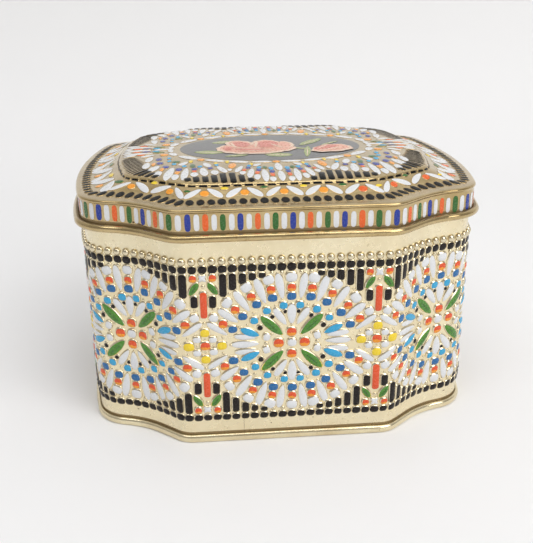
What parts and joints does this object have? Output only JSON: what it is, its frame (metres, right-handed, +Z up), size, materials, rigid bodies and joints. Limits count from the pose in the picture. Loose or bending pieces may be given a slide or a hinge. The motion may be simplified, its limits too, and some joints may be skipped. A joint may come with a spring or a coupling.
{
  "type": "hinged decorated tin",
  "caption": "Small tinplate box with a waved outline, all-over embossed mosaic pattern, and a domed lid that swings up on a wire hinge along the back.",
  "frame": {"origin": "centre of the footprint, on the plane the tin stands on", "axes": "+X to the tin's right as seen from the front, +Y to the hinged back, +Z up"},
  "size_m": [0.1528, 0.137, 0.0925],
  "materials": {
    "body_tinplate": "satin gold lacquer under a printed and embossed mosaic",
    "base_tinplate": "satin gold lacquer",
    "lid_tinplate": "satin gold lacquer under a printed mosaic",
    "wire_steel": "bright drawn wire",
    "tongue_tinplate": "satin gold lacquer"
  },
  "bodies": {
    "tin": {"body_wall": "body_tinplate", "base_panel": "base_tinplate", "hinge_tongue_left": "tongue_tinplate", "hinge_tongue_right": "tongue_tinplate"},
    "lid": {"lid_shell": "lid_tinplate", "hinge_wire": "wire_steel"}
  },
  "joints": [
    {"name": "lid_hinge", "type": "hinge", "parent": "tin", "child": "lid", "pos_m": [0, 0.06715, 0.0765], "axis": [-1, 0, 0], "range_deg": [0, 105]}
  ]
}
